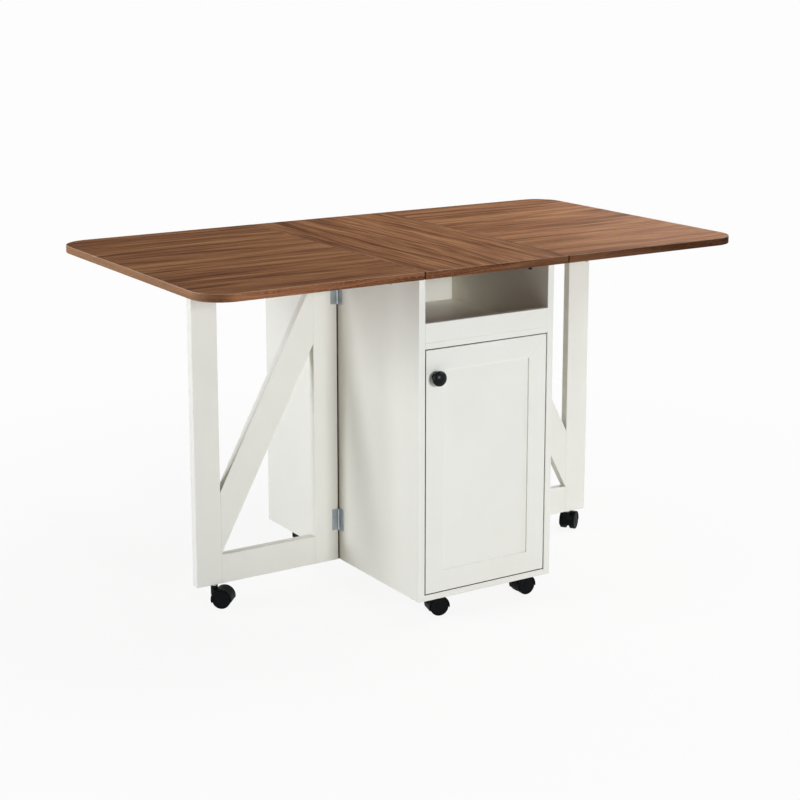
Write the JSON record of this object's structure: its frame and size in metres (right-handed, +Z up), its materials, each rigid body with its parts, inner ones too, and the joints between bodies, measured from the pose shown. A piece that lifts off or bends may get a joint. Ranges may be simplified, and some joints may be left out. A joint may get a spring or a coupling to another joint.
{
  "type": "kitchen table with storage cabinet",
  "caption": "Gate-leg kitchen table with drop leaves on a narrow wheeled cabinet that has an open niche, a framed door and rear shelves.",
  "frame": {"origin": "on the floor, under the centre of the table top", "axes": "+X along the top to the right, seen from the door side; +Y to the rear; +Z up; the door and the niche face -Y"},
  "size_m": [1.3, 0.72, 0.745],
  "materials": {
    "walnut_laminate": "satin walnut laminate",
    "white_paint": "satin off-white paint",
    "zinc_steel": "zinc plated",
    "black_nylon": "moulded nylon",
    "black_knob": "satin black",
    "grey_rubber": "matt",
    "dark_plastic": "moulded",
    "white_plastic": "moulded"
  },
  "bodies": {
    "cabinet": {"centre_board": "walnut_laminate", "flap_wings_centre": "zinc_steel", "side_panel_right": "white_paint", "side_panel_left": "white_paint", "bottom_panel": "white_paint", "niche_floor": "white_paint", "partition": "white_paint", "niche_apron": "white_paint", "door_shelf": "white_paint", "shelf_pins": "zinc_steel", "rear_shelf_lower": "white_paint", "rear_shelf_upper": "white_paint", "corner_brackets": "dark_plastic", "catch_box": "white_plastic", "hinge_pins": "zinc_steel", "hinge_wings_cabinet": "zinc_steel", "cabinet_stems": "zinc_steel"},
    "door": {"door_slab": "white_paint", "door_knob": "black_knob", "strike_plate": "zinc_steel"},
    "left_leaf": {"leaf_board_left": "walnut_laminate", "flap_wings_left_leaf": "zinc_steel", "leaf_stud_left": "grey_rubber"},
    "left_gate": {"gate_outer_stile_left": "white_paint", "gate_inner_stile_left": "white_paint", "gate_bottom_rail_left": "white_paint", "gate_top_rail_left": "white_paint", "gate_brace_left": "white_paint", "gate_rest_left": "white_paint", "gate_hinge_wings_left": "zinc_steel", "gate_stem_left": "zinc_steel"},
    "right_leaf": {"leaf_board_right": "walnut_laminate", "flap_wings_right_leaf": "zinc_steel", "leaf_stud_right": "grey_rubber"},
    "right_gate": {"gate_outer_stile_right": "white_paint", "gate_inner_stile_right": "white_paint", "gate_bottom_rail_right": "white_paint", "gate_top_rail_right": "white_paint", "gate_brace_right": "white_paint", "gate_rest_right": "white_paint", "gate_hinge_wings_right": "zinc_steel", "gate_stem_right": "zinc_steel"},
    "caster_front_left": {"caster_hood_front_left": "black_nylon", "caster_axle_front_left": "zinc_steel"},
    "wheels_front_left": {"caster_wheels_front_left": "black_nylon"},
    "caster_front_right": {"caster_hood_front_right": "black_nylon", "caster_axle_front_right": "zinc_steel"},
    "wheels_front_right": {"caster_wheels_front_right": "black_nylon"},
    "caster_rear_left": {"caster_hood_rear_left": "black_nylon", "caster_axle_rear_left": "zinc_steel"},
    "wheels_rear_left": {"caster_wheels_rear_left": "black_nylon"},
    "caster_rear_right": {"caster_hood_rear_right": "black_nylon", "caster_axle_rear_right": "zinc_steel"},
    "wheels_rear_right": {"caster_wheels_rear_right": "black_nylon"},
    "caster_left_gate": {"caster_hood_left_gate": "black_nylon", "caster_axle_left_gate": "zinc_steel"},
    "wheels_left_gate": {"caster_wheels_left_gate": "black_nylon"},
    "caster_right_gate": {"caster_hood_right_gate": "black_nylon", "caster_axle_right_gate": "zinc_steel"},
    "wheels_right_gate": {"caster_wheels_right_gate": "black_nylon"}
  },
  "joints": [
    {"name": "door_hinge", "type": "hinge", "parent": "cabinet", "child": "door", "pos_m": [0.1445, -0.3185, 0.32], "axis": [0, 0, 1], "range_deg": [0, 110]},
    {"name": "left_gate_swing", "type": "hinge", "parent": "cabinet", "child": "left_gate", "pos_m": [-0.1695, -0.0075, 0.3935], "axis": [0, 0, 1], "range_deg": [0, 90]},
    {"name": "right_gate_swing", "type": "hinge", "parent": "cabinet", "child": "right_gate", "pos_m": [0.1695, -0.0075, 0.3935], "axis": [0, 0, -1], "range_deg": [0, 90]},
    {"name": "left_leaf_lift", "type": "hinge", "parent": "cabinet", "child": "left_leaf", "pos_m": [-0.1948, 0, 0.724], "axis": [0, 1, 0], "range_deg": [0, 1.5]},
    {"name": "right_leaf_lift", "type": "hinge", "parent": "cabinet", "child": "right_leaf", "pos_m": [0.1948, 0, 0.724], "axis": [0, -1, 0], "range_deg": [0, 1.5]},
    {"name": "swivel_front_left", "type": "hinge", "parent": "cabinet", "child": "caster_front_left", "pos_m": [-0.1115, -0.276, 0.042], "axis": [0, 0, 1], "continuous": true},
    {"name": "roll_front_left", "type": "hinge", "parent": "caster_front_left", "child": "wheels_front_left", "pos_m": [-0.09315, -0.28092, 0.02], "axis": [0.2588, 0.9659, 0], "continuous": true},
    {"name": "swivel_front_right", "type": "hinge", "parent": "cabinet", "child": "caster_front_right", "pos_m": [0.1115, -0.276, 0.042], "axis": [0, 0, 1], "continuous": true},
    {"name": "roll_front_right", "type": "hinge", "parent": "caster_front_right", "child": "wheels_front_right", "pos_m": [0.1305, -0.276, 0.02], "axis": [0, 1, 0], "continuous": true},
    {"name": "swivel_rear_left", "type": "hinge", "parent": "cabinet", "child": "caster_rear_left", "pos_m": [-0.1115, 0.276, 0.042], "axis": [0, 0, 1], "continuous": true},
    {"name": "roll_rear_left", "type": "hinge", "parent": "caster_rear_left", "child": "wheels_rear_left", "pos_m": [-0.10984, 0.25707, 0.02], "axis": [0.9962, 0.0872, 0], "continuous": true},
    {"name": "swivel_rear_right", "type": "hinge", "parent": "cabinet", "child": "caster_rear_right", "pos_m": [0.1115, 0.276, 0.042], "axis": [0, 0, 1], "continuous": true},
    {"name": "roll_rear_right", "type": "hinge", "parent": "caster_rear_right", "child": "wheels_rear_right", "pos_m": [0.12935, 0.2825, 0.02], "axis": [-0.342, 0.9397, 0], "continuous": true},
    {"name": "swivel_left_gate", "type": "hinge", "parent": "left_gate", "child": "caster_left_gate", "pos_m": [-0.467, 0.0055, 0.042], "axis": [0, 0, 1], "continuous": true},
    {"name": "roll_left_gate", "type": "hinge", "parent": "caster_left_gate", "child": "wheels_left_gate", "pos_m": [-0.4531, -0.00746, 0.02], "axis": [0.682, 0.7314, 0], "continuous": true},
    {"name": "swivel_right_gate", "type": "hinge", "parent": "right_gate", "child": "caster_right_gate", "pos_m": [0.467, 0.0055, 0.042], "axis": [0, 0, 1], "continuous": true},
    {"name": "roll_right_gate", "type": "hinge", "parent": "caster_right_gate", "child": "wheels_right_gate", "pos_m": [0.48237, 0.01667, 0.02], "axis": [-0.5878, 0.809, 0], "continuous": true}
  ]
}
